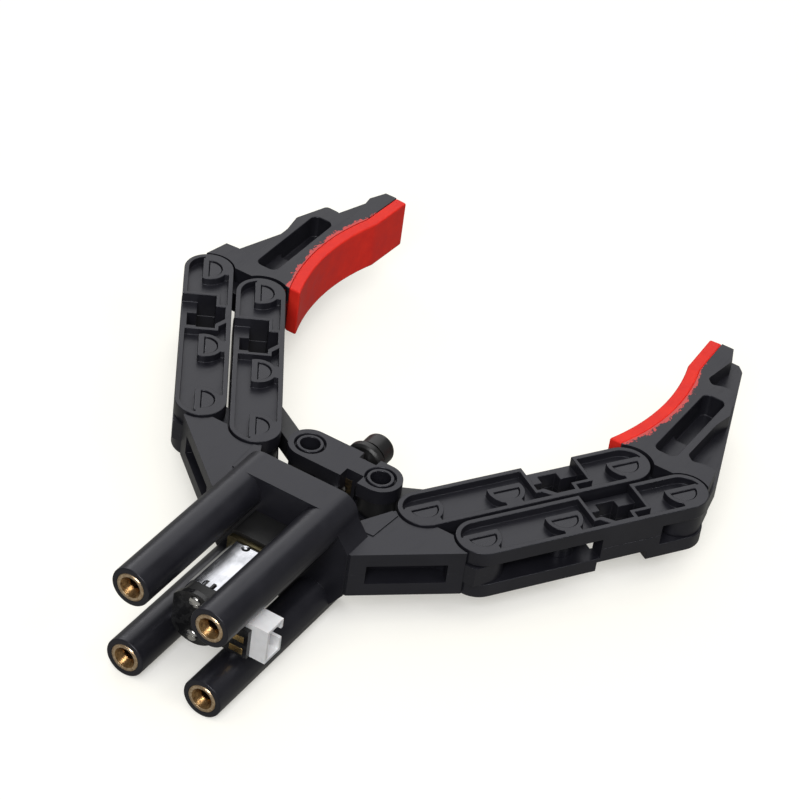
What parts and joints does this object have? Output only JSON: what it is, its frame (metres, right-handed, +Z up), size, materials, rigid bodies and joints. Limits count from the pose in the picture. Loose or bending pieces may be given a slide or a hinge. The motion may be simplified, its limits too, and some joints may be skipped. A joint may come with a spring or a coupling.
{
  "type": "robot claw gripper",
  "caption": "Motor-driven claw gripper: a lead screw pulls a crosshead that swings parallel arms and closes two padded fingers.",
  "frame": {"origin": "centre of the four-hole mounting pattern, on the rear ends of the posts", "axes": "+X across the fingers, +Y forward from the posts to the fingertips, +Z up out of the upper half"},
  "size_m": [0.1704, 0.198, 0.0354],
  "materials": {
    "black_plastic": "moulded, semi-gloss",
    "arm_plastic": "moulded, semi-gloss",
    "pin_plastic": "moulded, semi-gloss",
    "link_plastic": "moulded",
    "grip_rubber": "smooth, satin",
    "brass": "turned",
    "can_steel": "drawn, bright",
    "screw_steel": "turned",
    "cap_plastic": "moulded",
    "board": "solder mask",
    "solder": "tinned",
    "gold_pad": "plated",
    "white_plastic": "moulded"
  },
  "bodies": {
    "base": {"base_upper": "black_plastic", "base_lower": "black_plastic", "threaded_inserts": "brass", "case_screws": "screw_steel", "motor_can": "can_steel", "motor_end_cap": "cap_plastic", "motor_terminals": "solder", "motor_board": "board", "board_pads": "gold_pad", "connector_shell": "white_plastic", "connector_contacts": "solder", "gearbox_rear_plate": "brass", "gearbox_cover": "cap_plastic", "gearbox_front_plate": "brass"},
    "screw": {"output_shaft": "screw_steel", "shaft_coupling": "screw_steel", "lead_screw": "screw_steel", "end_knob": "cap_plastic"},
    "crosshead": {"crosshead_upper": "black_plastic", "crosshead_lower": "black_plastic", "crosshead_nut": "brass", "crosshead_pins": "pin_plastic"},
    "right_inner_arm": {"right_inner_arm_upper": "arm_plastic", "right_inner_arm_lower": "arm_plastic", "right_inner_arm_pins": "pin_plastic"},
    "right_outer_arm": {"right_outer_arm_upper": "arm_plastic", "right_outer_arm_lower": "arm_plastic", "right_outer_arm_pins": "pin_plastic"},
    "right_finger": {"right_finger_body": "black_plastic", "right_finger_pad": "grip_rubber"},
    "left_inner_arm": {"left_inner_arm_upper": "arm_plastic", "left_inner_arm_lower": "arm_plastic", "left_inner_arm_pins": "pin_plastic"},
    "left_outer_arm": {"left_outer_arm_upper": "arm_plastic", "left_outer_arm_lower": "arm_plastic", "left_outer_arm_pins": "pin_plastic"},
    "left_finger": {"left_finger_body": "black_plastic", "left_finger_pad": "grip_rubber"},
    "right_link": {"right_drive_link": "link_plastic"},
    "left_link": {"left_drive_link": "link_plastic"}
  },
  "joints": [
    {"name": "right_inner_arm_swing", "type": "hinge", "parent": "base", "child": "right_inner_arm", "pos_m": [0.02703, 0.0792, 0], "axis": [0, 0, 1], "range_deg": [0, 49.5]},
    {"name": "right_outer_arm_swing", "type": "hinge", "parent": "base", "child": "right_outer_arm", "pos_m": [0.04514, 0.0792, 0], "axis": [0, 0, 1], "range_deg": [0, 49.5]},
    {"name": "right_finger_pivot", "type": "hinge", "parent": "right_inner_arm", "child": "right_finger", "pos_m": [0.05998, 0.13083, 0], "axis": [0, 0, 1], "range_deg": [-49.5, 0]},
    {"name": "left_inner_arm_swing", "type": "hinge", "parent": "base", "child": "left_inner_arm", "pos_m": [-0.02703, 0.0792, 0], "axis": [0, 0, -1], "range_deg": [0, 49.5]},
    {"name": "left_outer_arm_swing", "type": "hinge", "parent": "base", "child": "left_outer_arm", "pos_m": [-0.04514, 0.0792, 0], "axis": [0, 0, -1], "range_deg": [0, 49.5]},
    {"name": "left_finger_pivot", "type": "hinge", "parent": "left_inner_arm", "child": "left_finger", "pos_m": [-0.05998, 0.13083, 0], "axis": [0, 0, -1], "range_deg": [-49.5, 0]},
    {"name": "crosshead_slide", "type": "slide", "parent": "base", "child": "crosshead", "axis": [0, -1, 0], "range_m": [0, 0.0126]},
    {"name": "right_link_pivot", "type": "hinge", "parent": "crosshead", "child": "right_link", "pos_m": [0.0113, 0.0824, 0], "axis": [0, 0, 1], "range_deg": [0, 45.66]},
    {"name": "left_link_pivot", "type": "hinge", "parent": "crosshead", "child": "left_link", "pos_m": [-0.0113, 0.0824, 0], "axis": [0, 0, -1], "range_deg": [0, 45.66]},
    {"name": "screw_spin", "type": "hinge", "parent": "base", "child": "screw", "pos_m": [0, 0.06, 0], "axis": [0, 1, 0], "range_deg": [0, 1134]}
  ],
  "couplings": [
    {"joint": "right_outer_arm_swing", "follows": "right_inner_arm_swing", "ratio": 1},
    {"joint": "right_finger_pivot", "follows": "right_inner_arm_swing", "ratio": -1},
    {"joint": "left_inner_arm_swing", "follows": "right_inner_arm_swing", "ratio": 1},
    {"joint": "left_outer_arm_swing", "follows": "right_inner_arm_swing", "ratio": 1},
    {"joint": "left_finger_pivot", "follows": "right_inner_arm_swing", "ratio": -1},
    {"joint": "crosshead_slide", "follows": "right_inner_arm_swing", "m_per_rad": 0.014584},
    {"joint": "right_link_pivot", "follows": "right_inner_arm_swing", "ratio": 0.92222},
    {"joint": "left_link_pivot", "follows": "right_inner_arm_swing", "ratio": 0.92222},
    {"joint": "screw_spin", "follows": "right_inner_arm_swing", "ratio": 22.909}
  ]
}
